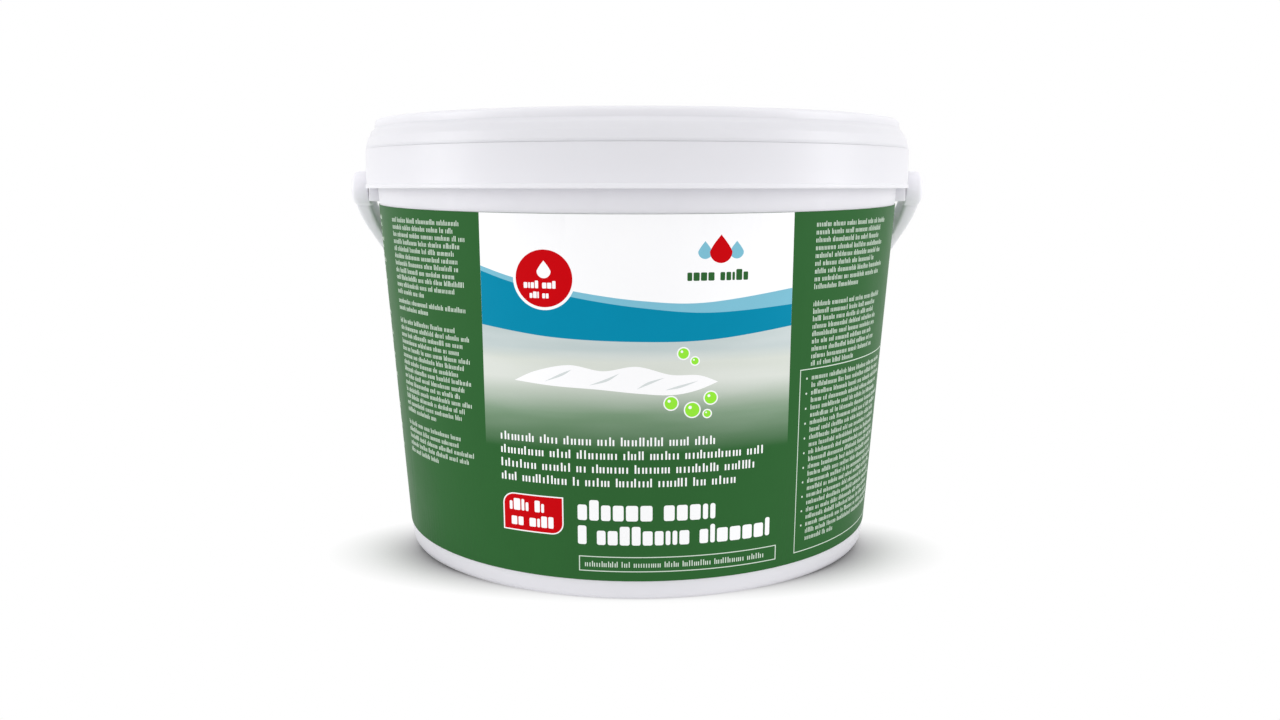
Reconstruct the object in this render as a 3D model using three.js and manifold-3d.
// Wipes canister: a round white plastic pail with a press-on lid, a flip-top dispenser, a carrying
// bail, a wrap-around label and a centre-pull roll of wipes inside. Millimetres, +Z up, the front of
// the label faces -Y. The origin is the centre of the pail's foot ring, on the surface it stands on.

import * as THREE from "three";
import { mergeVertices } from "three/addons/utils/BufferGeometryUtils.js";
import Module from "manifold-3d";

const wasm = await Module();
wasm.setup();

// Facets
const SEGMENTS = 72;
const DISPENSER_SEGMENTS = 48;
const SMALL_SEGMENTS = 24;
const BAIL_STEPS = 40;

// Clearances
const SEAT_GAP = 0.3;
const RUNNING_GAP = 0.3;
const LABEL_GAP = 0.08;
const SNAP_CLEARANCE = 0.5;
const ROLL_CLEARANCE = 6.2;
const ROLL_HEADROOM = 6.2;

// Roll of wipes, which the pail is made to hold
const ROLL_RADIUS = 92;
const ROLL_CORE_RADIUS = 24;
const ROLL_HEIGHT = 140;
const ROLL_EDGE = 3;

// Pail floor and foot
const WALL_THICKNESS = 1.7;
const FLOOR_THICKNESS = 2;
const FOOT_RECESS = 2.2;
const FOOT_RING_WIDTH = 5.5;
const FOOT_CORNER = 4;
const ROLL_BOTTOM = FOOT_RECESS + FLOOR_THICKNESS + SEAT_GAP;

// Pail wall, wider at the collar than at the foot
const WALL_FLARE = 10.45;
const WALL_FOOT_RADIUS = ROLL_RADIUS + ROLL_CLEARANCE + WALL_THICKNESS;
const WALL_COLLAR_RADIUS = WALL_FOOT_RADIUS + WALL_FLARE;

// Pail collar
const COLLAR_OVERHANG = 4.65;
const COLLAR_HEIGHT = 15.7;
const COLLAR_THICKNESS = 1.6;
const COLLAR_LIP = 0.35;
const COLLAR_LIP_HEIGHT = 1.4;
const COLLAR_RADIUS = WALL_COLLAR_RADIUS + COLLAR_OVERHANG;
const COLLAR_BOTTOM = ROLL_BOTTOM + ROLL_HEIGHT + ROLL_HEADROOM;
const COLLAR_TOP = COLLAR_BOTTOM + COLLAR_HEIGHT;

// Pail neck, which the lid grips
const NECK_INSET = 2.15;
const NECK_HEIGHT = 9.6;
const NECK_BEAD = 0.6;
const NECK_BEAD_DROP = 3.4;
const NECK_SPLAY = 1.5;
const NECK_RADIUS = WALL_COLLAR_RADIUS - NECK_INSET;
const NECK_TOP = COLLAR_TOP + NECK_HEIGHT;
const NECK_BEAD_HEIGHT = NECK_TOP - NECK_BEAD_DROP;

// Stiffening plates under the collar
const GUSSET_COUNT = 24;
const GUSSET_WIDTH = 1.4;
const GUSSET_DROP = 9;

// Ears that carry the bail
const EAR_WIDTH = 15;
const EAR_LABEL_GAP = 0.8;
const EAR_PROUD = 0.6;
const EAR_FACE = COLLAR_RADIUS + EAR_PROUD;
const PIVOT_HEIGHT = COLLAR_BOTTOM;
const PIN_RADIUS = 2.5;
const PIN_LENGTH = 5;

// Lid rim
const LID_WALL = 1.5;
const LID_CROWN = 2.1;
const LID_RIM_WALL = 1.7;
const LID_RIM_DRAFT = 0.1;
const LID_NECK_DROP = 3.2;
const LID_SHOULDER_DROP = 3.6;
const LID_SHOULDER_INSET = 1.3;
const LID_TOP = NECK_TOP + SEAT_GAP + LID_CROWN;
const LID_TOP_RADIUS = NECK_RADIUS + NECK_BEAD + SEAT_GAP + LID_RIM_WALL;
const LID_NECK_RADIUS = LID_TOP_RADIUS + LID_RIM_DRAFT;
const LID_NECK_HEIGHT = LID_TOP - LID_NECK_DROP;
const LID_SHOULDER_RADIUS = COLLAR_RADIUS - LID_SHOULDER_INSET;
const LID_SHOULDER_HEIGHT = LID_NECK_HEIGHT - LID_SHOULDER_DROP;

// Lid top, with the seat for a second pail and the well for the dispenser
const STACKING_RECESS = 7.9;
const WELL_RADIUS = 62;
const WELL_DRAFT = 2;
const WELL_DEPTH = 7.1;
const LID_OPENING_RADIUS = 24;
const STACKING_SEAT_HEIGHT = LID_TOP - STACKING_RECESS;
const WELL_FLOOR_HEIGHT = STACKING_SEAT_HEIGHT - WELL_DEPTH;

// Dispenser insert in the lid's opening
const INSERT_FLANGE_MARGIN = 3.5;
const INSERT_FLANGE_THICKNESS = 1.6;
const INSERT_BARREL_DEPTH = 6;
const INSERT_WALL = 1.6;
const INSERT_LIP = 1.2;
const INSERT_RIM_INSET = 2;
const INSERT_RIM_HEIGHT = 2.4;
const INSERT_RIM_RADIUS = LID_OPENING_RADIUS - INSERT_RIM_INSET;
const WEB_THICKNESS = 1.4;
const ORIFICE_RADIUS = 6.5;
const ORIFICE_TOOTH = 3.2;
const ORIFICE_TEETH = 8;

// Flip cap over the insert's rim, and its hinge
const CAP_RIM_CLEARANCE = 2;
const CAP_THICKNESS = 1.5;
const CAP_SKIRT = 3.3;
const CAP_TAB_WIDTH = 14;
const CAP_TAB_REACH = 4;
const CAP_RADIUS = INSERT_RIM_RADIUS + CAP_RIM_CLEARANCE + CAP_THICKNESS;
const INSERT_FLANGE_RADIUS = CAP_RADIUS + INSERT_FLANGE_MARGIN;
const HINGE_OFFSET = 4.5;
const HINGE_REACH = CAP_RADIUS + HINGE_OFFSET;
const HINGE_KNUCKLE_RADIUS = 1.9;
const HINGE_PIN_RADIUS = 0.9;
const HINGE_KNUCKLE_WIDTH = 12;
const HINGE_LUG_WIDTH = 3;

// Bail
const BAIL_DISC_RADIUS = 7.4;
const BAIL_DISC_THICKNESS = 7.4;
const BAIL_DISC_GAP = 0.4;
const BAIL_DISC_INNER = EAR_FACE + BAIL_DISC_GAP;
const BAIL_DISC_OUTER = BAIL_DISC_INNER + BAIL_DISC_THICKNESS;
const BAIL_HALF_WIDTH = BAIL_DISC_INNER + BAIL_DISC_THICKNESS / 2;
const BAIL_SLACK = 36;
const BAIL_REACH = COLLAR_RADIUS + BAIL_SLACK;
const BAIL_STRAP_WIDTH = 9;
const BAIL_STRAP_THICKNESS = 3.2;
const BAIL_GRIP_WIDTH = 17;
const BAIL_GRIP_THICKNESS = 4.6;
const BAIL_GRIP_HALF_ANGLE = 0.36;
const BAIL_GRIP_TAPER = 0.12;
const BAIL_RIB_COUNT = 9;
const BAIL_RIB_HEIGHT = 0.7;
const BAIL_RIB_WIDTH = 2.6;
const BAIL_STOP_GAP = 0.6;

// Label and the fields of print on it, placed down from its top edge
const LABEL_THICKNESS = 0.22;
const LABEL_TOP_MARGIN = 8.7;
const LABEL_TOP = COLLAR_BOTTOM - LABEL_TOP_MARGIN;
const LABEL_BOTTOM = 7.8;
const LABEL_BOW = 2.2;
const PANEL_HALF_WIDTH = 56;
const PRINT_GAP = 0.4;
const BAND_DROP = 26;
const BAND_LIGHT_DEPTH = 5;
const BAND_DARK_DEPTH = 12;
const BAND_SAG = 6;
const PICTURE_DEPTH = 33;
const BAND_LIGHT_TOP = LABEL_TOP - BAND_DROP;
const BAND_BOTTOM = BAND_LIGHT_TOP - BAND_LIGHT_DEPTH - BAND_DARK_DEPTH;
const PICTURE_BOTTOM = BAND_BOTTOM - PICTURE_DEPTH;
const BADGE_INSET = 23.5;
const BADGE_X = BADGE_INSET - PANEL_HALF_WIDTH;
const BADGE_DROP = 22.5;
const BADGE_HEIGHT = LABEL_TOP - BADGE_DROP;
const BADGE_RADIUS = 10.3;
const BADGE_RING = 1.1;
const TAG_INSET = 6;
const TAG_LEFT = TAG_INSET - PANEL_HALF_WIDTH;
const TAG_WIDTH = 23;
const TAG_RIGHT = TAG_LEFT + TAG_WIDTH;
const TAG_BOTTOM = 23;
const TAG_HEIGHT = 16.5;
const TAG_TOP = TAG_BOTTOM + TAG_HEIGHT;
const TAG_CORNER = 3;

// Colours from the photograph's lighting
const WHITE_PLASTIC = { color: 0xf1f1f5, roughness: 0.38 };
const ROLL_CLOTH = { color: 0xf4f4f0, roughness: 0.95 };
const GREEN_PRINT = { color: 0x3a693e, roughness: 0.45 };
const WHITE_PRINT = { color: 0xf7f7f7, roughness: 0.45 };
const DARK_BLUE_PRINT = { color: 0x008aaf, roughness: 0.45 };
const LIGHT_BLUE_PRINT = { color: 0x85c0d5, roughness: 0.45 };
const PALE_PRINT = { color: 0xc9d3cb, roughness: 0.45 };
const RED_PRINT = { color: 0xc80a19, roughness: 0.45 };

// Outer radius of the tapered wall at a height
function wallRadius(height) {
  const rise = (WALL_COLLAR_RADIUS - WALL_FOOT_RADIUS) / COLLAR_BOTTOM;
  return WALL_FOOT_RADIUS + rise * height;
}

// Height gained towards the back by a label cut to a slightly flatter arc than the wall
function labelLift(azimuth) {
  return LABEL_BOW * (1 - Math.cos(azimuth));
}

function toSolid(geometry) {
  const bare = geometry.index ? geometry.clone() : geometry;
  bare.deleteAttribute("normal");
  bare.deleteAttribute("uv");
  const merged = mergeVertices(bare, 1e-4);
  return new wasm.Manifold(new wasm.Mesh({
    numProp: 3,
    vertProperties: new Float32Array(merged.attributes.position.array),
    triVerts: new Uint32Array(merged.index.array),
  }));
}

function toGeometry(solid) {
  const mesh = solid.getMesh();
  const geometry = new THREE.BufferGeometry();
  geometry.setAttribute("position", new THREE.BufferAttribute(mesh.vertProperties, 3));
  geometry.setIndex(new THREE.BufferAttribute(mesh.triVerts, 1));
  geometry.computeVertexNormals();
  return geometry;
}

// Solid of revolution about Z from [radius, height] pairs that start and end on the axis or close
function turned(profile, segments = SEGMENTS) {
  const points = profile.map(([radius, height]) => new THREE.Vector2(radius, height));
  if (THREE.ShapeUtils.area(points) < 0) points.reverse();
  if (points[0].x > 0) points.push(points[0].clone());
  const geometry = new THREE.LatheGeometry(points, segments);
  geometry.rotateX(Math.PI / 2);
  return toSolid(geometry);
}

function block(x0, x1, y0, y1, z0, z1) {
  const geometry = new THREE.BoxGeometry(x1 - x0, y1 - y0, z1 - z0);
  geometry.translate((x0 + x1) / 2, (y0 + y1) / 2, (z0 + z1) / 2);
  return toSolid(geometry);
}

// Cylinder along X between two places
function barX(radius, x0, x1, y, z, segments = SMALL_SEGMENTS) {
  const geometry = new THREE.CylinderGeometry(radius, radius, x1 - x0, segments);
  geometry.rotateZ(Math.PI / 2);
  geometry.translate((x0 + x1) / 2, y, z);
  return toSolid(geometry);
}

function joined(solids) {
  return solids.reduce((whole, piece) => whole.add(piece));
}

function mirroredX(solid) {
  return solid.mirror([1, 0, 0]);
}

function pailShell() {
  const footRadius = wallRadius(FOOT_CORNER);
  const ringOuter = wallRadius(0) - FOOT_CORNER;
  const ringInner = ringOuter - FOOT_RING_WIDTH;
  const floorTop = FOOT_RECESS + FLOOR_THICKNESS;
  const collarInner = COLLAR_RADIUS - COLLAR_THICKNESS;
  const flangeBottom = COLLAR_TOP - COLLAR_THICKNESS;
  const neckInner = NECK_RADIUS - WALL_THICKNESS;
  const corner = FOOT_CORNER * (1 - Math.SQRT1_2);
  return turned([
    [0, FOOT_RECESS],
    [ringInner - FOOT_RECESS, FOOT_RECESS],
    [ringInner, 0],
    [ringOuter, 0],
    [footRadius - corner, corner],
    [footRadius, FOOT_CORNER],
    [wallRadius(flangeBottom), flangeBottom],
    [collarInner, flangeBottom],
    [collarInner, COLLAR_BOTTOM],
    [COLLAR_RADIUS + COLLAR_LIP, COLLAR_BOTTOM],
    [COLLAR_RADIUS + COLLAR_LIP, COLLAR_BOTTOM + COLLAR_LIP_HEIGHT],
    [COLLAR_RADIUS, COLLAR_BOTTOM + COLLAR_LIP_HEIGHT + COLLAR_LIP],
    [COLLAR_RADIUS, COLLAR_TOP - COLLAR_LIP],
    [COLLAR_RADIUS - COLLAR_LIP, COLLAR_TOP],
    [NECK_RADIUS, COLLAR_TOP],
    [NECK_RADIUS, NECK_BEAD_HEIGHT - NECK_BEAD],
    [NECK_RADIUS + NECK_BEAD, NECK_BEAD_HEIGHT],
    [NECK_RADIUS, NECK_BEAD_HEIGHT + NECK_BEAD],
    [NECK_RADIUS, NECK_TOP - WALL_THICKNESS / 2],
    [NECK_RADIUS - WALL_THICKNESS / 2, NECK_TOP],
    [neckInner, NECK_TOP - WALL_THICKNESS / 2],
    [neckInner, COLLAR_TOP - COLLAR_THICKNESS],
    [wallRadius(COLLAR_BOTTOM) - WALL_THICKNESS - NECK_SPLAY, COLLAR_BOTTOM],
    [wallRadius(floorTop + FOOT_CORNER) - WALL_THICKNESS, floorTop + FOOT_CORNER],
    [ringOuter - WALL_THICKNESS / 2, floorTop],
    [0, floorTop],
  ]);
}

// Stiffening plates in the open channel between the wall and the collar's skirt
function gussets() {
  const inner = wallRadius(COLLAR_BOTTOM) - WALL_THICKNESS / 2;
  const outer = COLLAR_RADIUS - COLLAR_THICKNESS / 2;
  const top = COLLAR_TOP - COLLAR_THICKNESS / 2;
  const plate = block(inner, outer, -GUSSET_WIDTH / 2, GUSSET_WIDTH / 2, top - GUSSET_DROP, top);
  const plates = [];
  for (let i = 0; i < GUSSET_COUNT; i += 1) {
    const turn = ((i + 0.5) * 360) / GUSSET_COUNT;
    plates.push(plate.rotate([0, 0, turn]));
  }
  return plates;
}

// Boss under the collar, just clear of the label, with the pin that the bail snaps on
function ear() {
  const backEdge = Math.PI / 2 + EAR_WIDTH / 2 / WALL_COLLAR_RADIUS;
  const bottom = LABEL_TOP + labelLift(backEdge) + EAR_LABEL_GAP;
  const root = wallRadius(bottom) - WALL_THICKNESS / 2;
  const top = COLLAR_TOP - COLLAR_THICKNESS / 2;
  const boss = block(root, EAR_FACE, -EAR_WIDTH / 2, EAR_WIDTH / 2, bottom, COLLAR_BOTTOM + BAIL_DISC_RADIUS);
  const fillet = block(root, COLLAR_RADIUS - COLLAR_THICKNESS / 2, -EAR_WIDTH / 2, EAR_WIDTH / 2,
    COLLAR_BOTTOM, top);
  const pin = barX(PIN_RADIUS, EAR_FACE - 1, EAR_FACE + PIN_LENGTH, 0, PIVOT_HEIGHT);
  return joined([boss, fillet, pin]);
}

function pail() {
  const right = ear();
  return joined([pailShell(), ...gussets(), right, mirroredX(right)]);
}

function lid() {
  const skirtBottom = COLLAR_TOP + SEAT_GAP;
  const plugRadius = NECK_RADIUS - WALL_THICKNESS - SNAP_CLEARANCE;
  const plugInner = plugRadius - LID_WALL;
  const channelTop = NECK_TOP + SEAT_GAP;
  const channelOuter = NECK_RADIUS + NECK_BEAD + SEAT_GAP;
  const wellTop = WELL_RADIUS;
  const wellFoot = WELL_RADIUS - WELL_DRAFT;
  const crest = LID_WALL / 2;
  return turned([
    [LID_OPENING_RADIUS, WELL_FLOOR_HEIGHT],
    [wellFoot, WELL_FLOOR_HEIGHT],
    [wellTop, STACKING_SEAT_HEIGHT],
    [plugInner, STACKING_SEAT_HEIGHT],
    [plugInner, LID_TOP - crest],
    [plugInner + crest, LID_TOP],
    [LID_TOP_RADIUS - crest, LID_TOP],
    [LID_TOP_RADIUS, LID_TOP - crest],
    [LID_TOP_RADIUS, LID_NECK_HEIGHT + crest],
    [LID_NECK_RADIUS, LID_NECK_HEIGHT],
    [LID_SHOULDER_RADIUS - 0.9, LID_SHOULDER_HEIGHT + 1.6],
    [LID_SHOULDER_RADIUS, LID_SHOULDER_HEIGHT],
    [COLLAR_RADIUS - COLLAR_LIP, skirtBottom + COLLAR_LIP],
    [COLLAR_RADIUS - COLLAR_LIP, skirtBottom],
    [COLLAR_RADIUS - LID_WALL - COLLAR_LIP, skirtBottom],
    [LID_SHOULDER_RADIUS - LID_WALL, LID_SHOULDER_HEIGHT],
    [channelOuter, LID_NECK_HEIGHT - LID_WALL / 2],
    [channelOuter, channelTop],
    [plugRadius, channelTop],
    [plugRadius, COLLAR_TOP],
    [plugRadius - crest, COLLAR_TOP - crest],
    [plugInner, COLLAR_TOP],
    [plugInner, STACKING_SEAT_HEIGHT - LID_WALL],
    [wellTop + LID_WALL, STACKING_SEAT_HEIGHT - LID_WALL],
    [wellFoot + LID_WALL, WELL_FLOOR_HEIGHT - LID_WALL],
    [LID_OPENING_RADIUS, WELL_FLOOR_HEIGHT - LID_WALL],
  ]);
}

// Star of pointed teeth that grips the wipe as it is pulled through
function orificeCutter(bottom, top) {
  const shape = new THREE.Shape();
  const points = ORIFICE_TEETH * 2;
  for (let i = 0; i < points; i += 1) {
    const radius = ORIFICE_RADIUS + (i % 2 === 0 ? ORIFICE_TOOTH : 0);
    const angle = (i * Math.PI) / ORIFICE_TEETH;
    const x = radius * Math.cos(angle);
    const y = radius * Math.sin(angle);
    if (i === 0) shape.moveTo(x, y);
    else shape.lineTo(x, y);
  }
  shape.closePath();
  const geometry = new THREE.ExtrudeGeometry(shape, { depth: top - bottom, bevelEnabled: false });
  geometry.translate(0, 0, bottom);
  return toSolid(geometry);
}

const flangeBottom = WELL_FLOOR_HEIGHT + SEAT_GAP;
const flangeTop = flangeBottom + INSERT_FLANGE_THICKNESS;
const hingeHeight = flangeTop + HINGE_KNUCKLE_RADIUS + RUNNING_GAP;

// Snap-in insert: flange, barrel with a retaining lip, sealing rim and web with the orifice
function dispenserInsert() {
  const barrel = LID_OPENING_RADIUS - RUNNING_GAP;
  const lipTop = WELL_FLOOR_HEIGHT - LID_WALL - SEAT_GAP;
  const barrelBottom = WELL_FLOOR_HEIGHT - INSERT_BARREL_DEPTH;
  const rimInner = INSERT_RIM_RADIUS - INSERT_WALL;
  const body = turned([
    [0, flangeTop - WEB_THICKNESS],
    [barrel - INSERT_WALL, flangeTop - WEB_THICKNESS],
    [barrel - INSERT_WALL, barrelBottom],
    [barrel, barrelBottom],
    [barrel + INSERT_LIP, lipTop - INSERT_LIP],
    [barrel + INSERT_LIP, lipTop],
    [barrel, lipTop],
    [barrel, flangeBottom],
    [INSERT_FLANGE_RADIUS, flangeBottom],
    [INSERT_FLANGE_RADIUS, flangeTop],
    [INSERT_RIM_RADIUS, flangeTop],
    [INSERT_RIM_RADIUS, flangeTop + INSERT_RIM_HEIGHT],
    [rimInner, flangeTop + INSERT_RIM_HEIGHT],
    [rimInner, flangeTop],
    [0, flangeTop],
  ], DISPENSER_SEGMENTS);
  const lugInner = HINGE_KNUCKLE_WIDTH / 2 + RUNNING_GAP;
  const lugOuter = lugInner + HINGE_LUG_WIDTH;
  const lugs = [];
  for (const side of [-1, 1]) {
    const x0 = Math.min(side * lugInner, side * lugOuter);
    const x1 = Math.max(side * lugInner, side * lugOuter);
    const reach = HINGE_REACH + HINGE_KNUCKLE_RADIUS;
    const plate = block(x0, x1, INSERT_FLANGE_RADIUS - 6, reach, flangeBottom, flangeTop);
    const lug = block(x0, x1, HINGE_REACH - HINGE_KNUCKLE_RADIUS, reach, flangeBottom,
      hingeHeight + HINGE_KNUCKLE_RADIUS);
    lugs.push(plate.add(lug));
  }
  const lugBore = barX(HINGE_PIN_RADIUS + RUNNING_GAP, -lugOuter - 1, lugOuter + 1, HINGE_REACH, hingeHeight);
  return joined([body, ...lugs]).subtract(lugBore)
    .subtract(orificeCutter(flangeTop - 2 * WEB_THICKNESS, flangeTop + 1));
}

// Flip cap: disc with a skirt that closes over the sealing rim, thumb tab and hinge knuckle
function dispenserCap() {
  const skirtBottom = flangeTop + SEAT_GAP;
  const top = skirtBottom + CAP_SKIRT + CAP_THICKNESS / 2;
  const underside = top - CAP_THICKNESS;
  const skirtInner = CAP_RADIUS - CAP_THICKNESS;
  const disc = turned([
    [0, underside],
    [skirtInner, underside],
    [skirtInner, skirtBottom],
    [CAP_RADIUS, skirtBottom],
    [CAP_RADIUS, top - CAP_THICKNESS / 2],
    [CAP_RADIUS - CAP_THICKNESS / 2, top],
    [0, top],
  ], DISPENSER_SEGMENTS);
  const tab = block(-CAP_TAB_WIDTH / 2, CAP_TAB_WIDTH / 2, -CAP_RADIUS - CAP_TAB_REACH, -skirtInner - 0.5,
    underside, top - CAP_THICKNESS / 4);
  const halfKnuckle = HINGE_KNUCKLE_WIDTH / 2;
  const arm = block(-halfKnuckle, halfKnuckle, skirtInner + 0.5, HINGE_REACH, hingeHeight - 0.6,
    hingeHeight + HINGE_KNUCKLE_RADIUS - 0.2);
  const knuckle = barX(HINGE_KNUCKLE_RADIUS, -halfKnuckle, halfKnuckle, HINGE_REACH, hingeHeight);
  const pinReach = halfKnuckle + RUNNING_GAP + HINGE_LUG_WIDTH;
  const pin = barX(HINGE_PIN_RADIUS, -pinReach, pinReach, HINGE_REACH, hingeHeight);
  return joined([disc, tab, arm, knuckle, pin]);
}

// Angle below the horizontal at which the hanging grip meets the label at the back of the pail
function bailRestAngle() {
  let low = 0;
  let high = Math.PI / 2;
  for (let i = 0; i < 40; i += 1) {
    const drop = (low + high) / 2;
    const inner = BAIL_REACH - BAIL_GRIP_THICKNESS / 2 - BAIL_RIB_HEIGHT;
    const back = inner * Math.cos(drop) - (BAIL_GRIP_WIDTH / 2) * Math.sin(drop);
    const height = PIVOT_HEIGHT - inner * Math.sin(drop) - (BAIL_GRIP_WIDTH / 2) * Math.cos(drop);
    const wall = wallRadius(height) + LABEL_GAP + LABEL_THICKNESS + BAIL_STOP_GAP;
    if (back > wall) low = drop;
    else high = drop;
  }
  return low;
}

function smoothstep(value) {
  const t = Math.min(1, Math.max(0, value));
  return t * t * (3 - 2 * t);
}

// Share of the grip's form at an angle along the half ellipse: 0 on the strap, 1 on the grip
function gripShare(angle) {
  const away = Math.abs(angle - Math.PI / 2) - BAIL_GRIP_HALF_ANGLE;
  return 1 - smoothstep(away / BAIL_GRIP_TAPER);
}

// Angles at which the bail has a cross-section, with both edges of every finger rib
function bailStations() {
  const stations = [];
  for (let i = 0; i <= BAIL_STEPS; i += 1) stations.push({ angle: (Math.PI * i) / BAIL_STEPS, rib: 0 });
  const gripSpan = 2 * (BAIL_GRIP_HALF_ANGLE - 0.04);
  const ribHalf = BAIL_RIB_WIDTH / 2 / BAIL_HALF_WIDTH;
  const ramp = 0.6 / BAIL_HALF_WIDTH;
  for (let i = 0; i < BAIL_RIB_COUNT; i += 1) {
    const middle = Math.PI / 2 + gripSpan * (i / (BAIL_RIB_COUNT - 1) - 0.5);
    const edges = [[-ribHalf - ramp, 0], [-ribHalf, 1], [ribHalf, 1], [ribHalf + ramp, 0]];
    for (const [offset, rib] of edges) stations.push({ angle: middle + offset, rib });
  }
  const inRib = (angle) => stations.some((s) => s.rib === 1 && Math.abs(s.angle - angle) < ribHalf + ramp);
  const kept = stations.filter((s, i) => i > BAIL_STEPS || !inRib(s.angle));
  return kept.sort((a, b) => a.angle - b.angle);
}

// Cross-section with cut corners: across is outward in the plane of the bail, up is normal to it
function bailSection({ angle, rib }) {
  const share = gripShare(angle);
  const width = BAIL_STRAP_WIDTH + share * (BAIL_GRIP_WIDTH - BAIL_STRAP_WIDTH);
  const thickness = BAIL_STRAP_THICKNESS + share * (BAIL_GRIP_THICKNESS - BAIL_STRAP_THICKNESS);
  const halfUp = width / 2;
  const halfAcross = thickness / 2 + rib * BAIL_RIB_HEIGHT;
  const cut = thickness * 0.28;
  const path = new THREE.Vector2(BAIL_HALF_WIDTH * Math.cos(angle), BAIL_REACH * Math.sin(angle));
  const outward = new THREE.Vector2(BAIL_REACH * Math.cos(angle), BAIL_HALF_WIDTH * Math.sin(angle));
  outward.normalize();
  const corners = [
    [halfAcross, halfUp - cut], [halfAcross - cut, halfUp], [cut - halfAcross, halfUp],
    [-halfAcross, halfUp - cut], [-halfAcross, cut - halfUp], [cut - halfAcross, -halfUp],
    [halfAcross - cut, -halfUp], [halfAcross, cut - halfUp],
  ];
  return corners.map(([across, up]) => [path.x + across * outward.x, path.y + across * outward.y, up]);
}

// Closed solid through a row of cross-sections with equal numbers of points
function lofted(sections) {
  const count = sections[0].length;
  const positions = sections.flat(2);
  const faces = [];
  for (let i = 0; i + 1 < sections.length; i += 1) {
    for (let j = 0; j < count; j += 1) {
      const a = i * count + j;
      const b = i * count + ((j + 1) % count);
      faces.push(a, b + count, b, a, a + count, b + count);
    }
  }
  const last = (sections.length - 1) * count;
  for (let j = 1; j + 1 < count; j += 1) {
    faces.push(0, j, j + 1);
    faces.push(last, last + j + 1, last + j);
  }
  const geometry = new THREE.BufferGeometry();
  geometry.setAttribute("position", new THREE.BufferAttribute(new Float32Array(positions), 3));
  geometry.setIndex(faces);
  return toSolid(geometry);
}

// Domed disc about X at the bail's right end, around the pivot at the bail's own origin
function bailDisc() {
  const dome = 1.2;
  const disc = turned([
    [0, BAIL_DISC_INNER],
    [BAIL_DISC_RADIUS, BAIL_DISC_INNER],
    [BAIL_DISC_RADIUS, BAIL_DISC_OUTER - 2 * dome],
    [BAIL_DISC_RADIUS - dome, BAIL_DISC_OUTER - dome],
    [BAIL_DISC_RADIUS / 2, BAIL_DISC_OUTER],
    [0, BAIL_DISC_OUTER],
  ], SMALL_SEGMENTS);
  return disc.rotate([0, 90, 0]);
}

// Bail lying flat in its own XY plane, reaching towards +Y from a pivot axis along X
function bail() {
  const strap = lofted(bailStations().map(bailSection));
  const right = bailDisc();
  const socketEnd = EAR_FACE + PIN_LENGTH + RUNNING_GAP;
  const socket = barX(PIN_RADIUS + RUNNING_GAP, BAIL_DISC_INNER - 1, socketEnd, 0, 0);
  const faceTrim = block(0, BAIL_DISC_INNER, -BAIL_DISC_RADIUS, BAIL_DISC_RADIUS, -BAIL_STRAP_WIDTH,
    BAIL_STRAP_WIDTH);
  const whole = joined([strap, right, mirroredX(right)]);
  return whole.subtract(socket).subtract(mirroredX(socket)).subtract(faceTrim)
    .subtract(mirroredX(faceTrim));
}

function wipesRoll() {
  const bottom = ROLL_BOTTOM;
  const top = bottom + ROLL_HEIGHT;
  return turned([
    [ROLL_CORE_RADIUS, bottom],
    [ROLL_RADIUS - ROLL_EDGE, bottom],
    [ROLL_RADIUS, bottom + ROLL_EDGE],
    [ROLL_RADIUS, top - ROLL_EDGE],
    [ROLL_RADIUS - ROLL_EDGE, top],
    [ROLL_CORE_RADIUS, top],
  ]);
}

// Thin sleeve on the wall, layer 0 for the film and layer 1 for print standing on it
function sleeve(layer) {
  const inset = LABEL_GAP + layer * (LABEL_THICKNESS + LABEL_GAP);
  const rings = [];
  for (let i = 0; i < SEGMENTS; i += 1) {
    const azimuth = (2 * Math.PI * i) / SEGMENTS;
    const bottom = LABEL_BOTTOM + labelLift(azimuth) + layer * PRINT_GAP;
    const top = LABEL_TOP + labelLift(azimuth) - layer * PRINT_GAP;
    const ring = [];
    for (const [height, outward] of [[bottom, 0], [bottom, 1], [top, 1], [top, 0]]) {
      const radius = wallRadius(height) + inset + outward * LABEL_THICKNESS;
      ring.push([radius * Math.sin(azimuth), -radius * Math.cos(azimuth), height]);
    }
    rings.push(ring);
  }
  const positions = rings.flat(2);
  const faces = [];
  for (let i = 0; i < SEGMENTS; i += 1) {
    const next = ((i + 1) % SEGMENTS) * 4;
    for (let j = 0; j < 4; j += 1) {
      const a = i * 4 + j;
      const b = i * 4 + ((j + 1) % 4);
      const c = next + ((j + 1) % 4);
      const d = next + j;
      faces.push(a, c, b, a, d, c);
    }
  }
  const geometry = new THREE.BufferGeometry();
  geometry.setAttribute("position", new THREE.BufferAttribute(new Float32Array(positions), 3));
  geometry.setIndex(faces);
  return toSolid(geometry);
}

// Prism of an outline drawn as seen from the front, x across and y up, reaching back to the axis
function frontPrism(shape) {
  const depth = 1.2 * COLLAR_RADIUS;
  const geometry = new THREE.ExtrudeGeometry(shape, { depth, bevelEnabled: false, curveSegments: 10 });
  geometry.rotateX(Math.PI / 2);
  return toSolid(geometry);
}

function rectangle(left, right, bottom, top) {
  const shape = new THREE.Shape();
  shape.moveTo(left, bottom);
  shape.lineTo(right, bottom);
  shape.lineTo(right, top);
  shape.lineTo(left, top);
  shape.closePath();
  return shape;
}

function disc(x, y, radius) {
  const shape = new THREE.Shape();
  shape.absarc(x, y, radius, 0, 2 * Math.PI);
  return shape;
}

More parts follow.
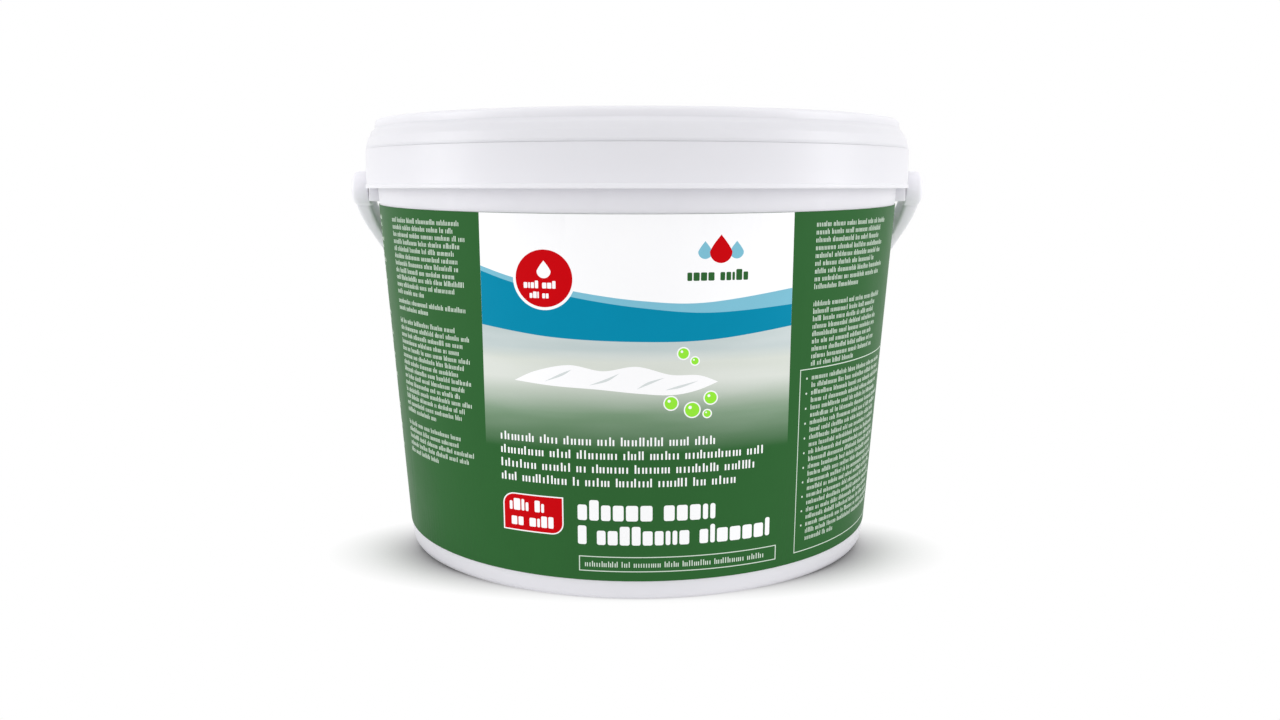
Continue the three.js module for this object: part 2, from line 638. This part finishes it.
// Band between two shallow sagging curves across the front panel
function saggingBand(bottom, bottomSag, top, topSag) {
  const half = PANEL_HALF_WIDTH - PRINT_GAP;
  const shape = new THREE.Shape();
  shape.moveTo(-half, bottom);
  shape.quadraticCurveTo(0, bottom - 2 * bottomSag, half, bottom);
  shape.lineTo(half, top);
  shape.quadraticCurveTo(0, top - 2 * topSag, -half, top);
  shape.closePath();
  return shape;
}

function roundedTag() {
  const shape = new THREE.Shape();
  shape.moveTo(TAG_LEFT, TAG_BOTTOM);
  shape.lineTo(TAG_RIGHT - TAG_CORNER, TAG_BOTTOM);
  shape.quadraticCurveTo(TAG_RIGHT, TAG_BOTTOM, TAG_RIGHT, TAG_BOTTOM + TAG_CORNER);
  shape.lineTo(TAG_RIGHT, TAG_TOP);
  shape.lineTo(TAG_LEFT + TAG_CORNER, TAG_TOP);
  shape.quadraticCurveTo(TAG_LEFT, TAG_TOP, TAG_LEFT, TAG_TOP - TAG_CORNER);
  shape.closePath();
  return shape;
}

function labelFields() {
  const film = sleeve(0);
  const print = sleeve(1);
  const badgeClearance = frontPrism(disc(BADGE_X, BADGE_HEIGHT, BADGE_RADIUS + BADGE_RING));
  const lightBottom = BAND_LIGHT_TOP - BAND_LIGHT_DEPTH;
  const panel = rectangle(-PANEL_HALF_WIDTH, PANEL_HALF_WIDTH, PICTURE_BOTTOM, LABEL_TOP + BAND_SAG);
  const panelHole = rectangle(
    -PANEL_HALF_WIDTH - PRINT_GAP, PANEL_HALF_WIDTH + PRINT_GAP,
    PICTURE_BOTTOM - PRINT_GAP, LABEL_TOP + BAND_SAG,
  );
  const light = saggingBand(lightBottom + PRINT_GAP, BAND_SAG, BAND_LIGHT_TOP, BAND_SAG);
  const dark = saggingBand(BAND_BOTTOM, BAND_SAG / 3, lightBottom, BAND_SAG);
  const picture = saggingBand(PICTURE_BOTTOM + PRINT_GAP, 0, BAND_BOTTOM - PRINT_GAP, BAND_SAG / 3);
  return {
    label_film: [film.subtract(frontPrism(panelHole)), GREEN_PRINT],
    label_panel: [film.intersect(frontPrism(panel)), WHITE_PRINT],
    print_band_light: [print.intersect(frontPrism(light)).subtract(badgeClearance), LIGHT_BLUE_PRINT],
    print_band_dark: [print.intersect(frontPrism(dark)).subtract(badgeClearance), DARK_BLUE_PRINT],
    print_picture_field: [print.intersect(frontPrism(picture)), PALE_PRINT],
    print_badge: [print.intersect(frontPrism(disc(BADGE_X, BADGE_HEIGHT, BADGE_RADIUS))), RED_PRINT],
    print_tag: [print.intersect(frontPrism(roundedTag())), RED_PRINT],
  };
}

function named(name, solid, finish) {
  const material = new THREE.MeshStandardMaterial({ metalness: 0, ...finish });
  const mesh = new THREE.Mesh(toGeometry(solid), material);
  mesh.name = name;
  return mesh;
}

function canister() {
  const group = new THREE.Group();
  group.add(named("pail", pail(), WHITE_PLASTIC));
  group.add(named("wipes_roll", wipesRoll(), ROLL_CLOTH));
  for (const [name, [solid, finish]] of Object.entries(labelFields())) {
    group.add(named(name, solid, finish));
  }

  const lidGroup = new THREE.Group();
  lidGroup.add(named("lid", lid(), WHITE_PLASTIC));
  lidGroup.add(named("dispenser_insert", dispenserInsert(), WHITE_PLASTIC));
  lidGroup.add(named("dispenser_cap", dispenserCap(), WHITE_PLASTIC));
  group.add(lidGroup);

  const bailGroup = new THREE.Group();
  bailGroup.position.z = PIVOT_HEIGHT;
  bailGroup.rotation.x = -bailRestAngle();
  bailGroup.add(named("bail", bail(), WHITE_PLASTIC));
  group.add(bailGroup);
  return group;
}

export default canister();
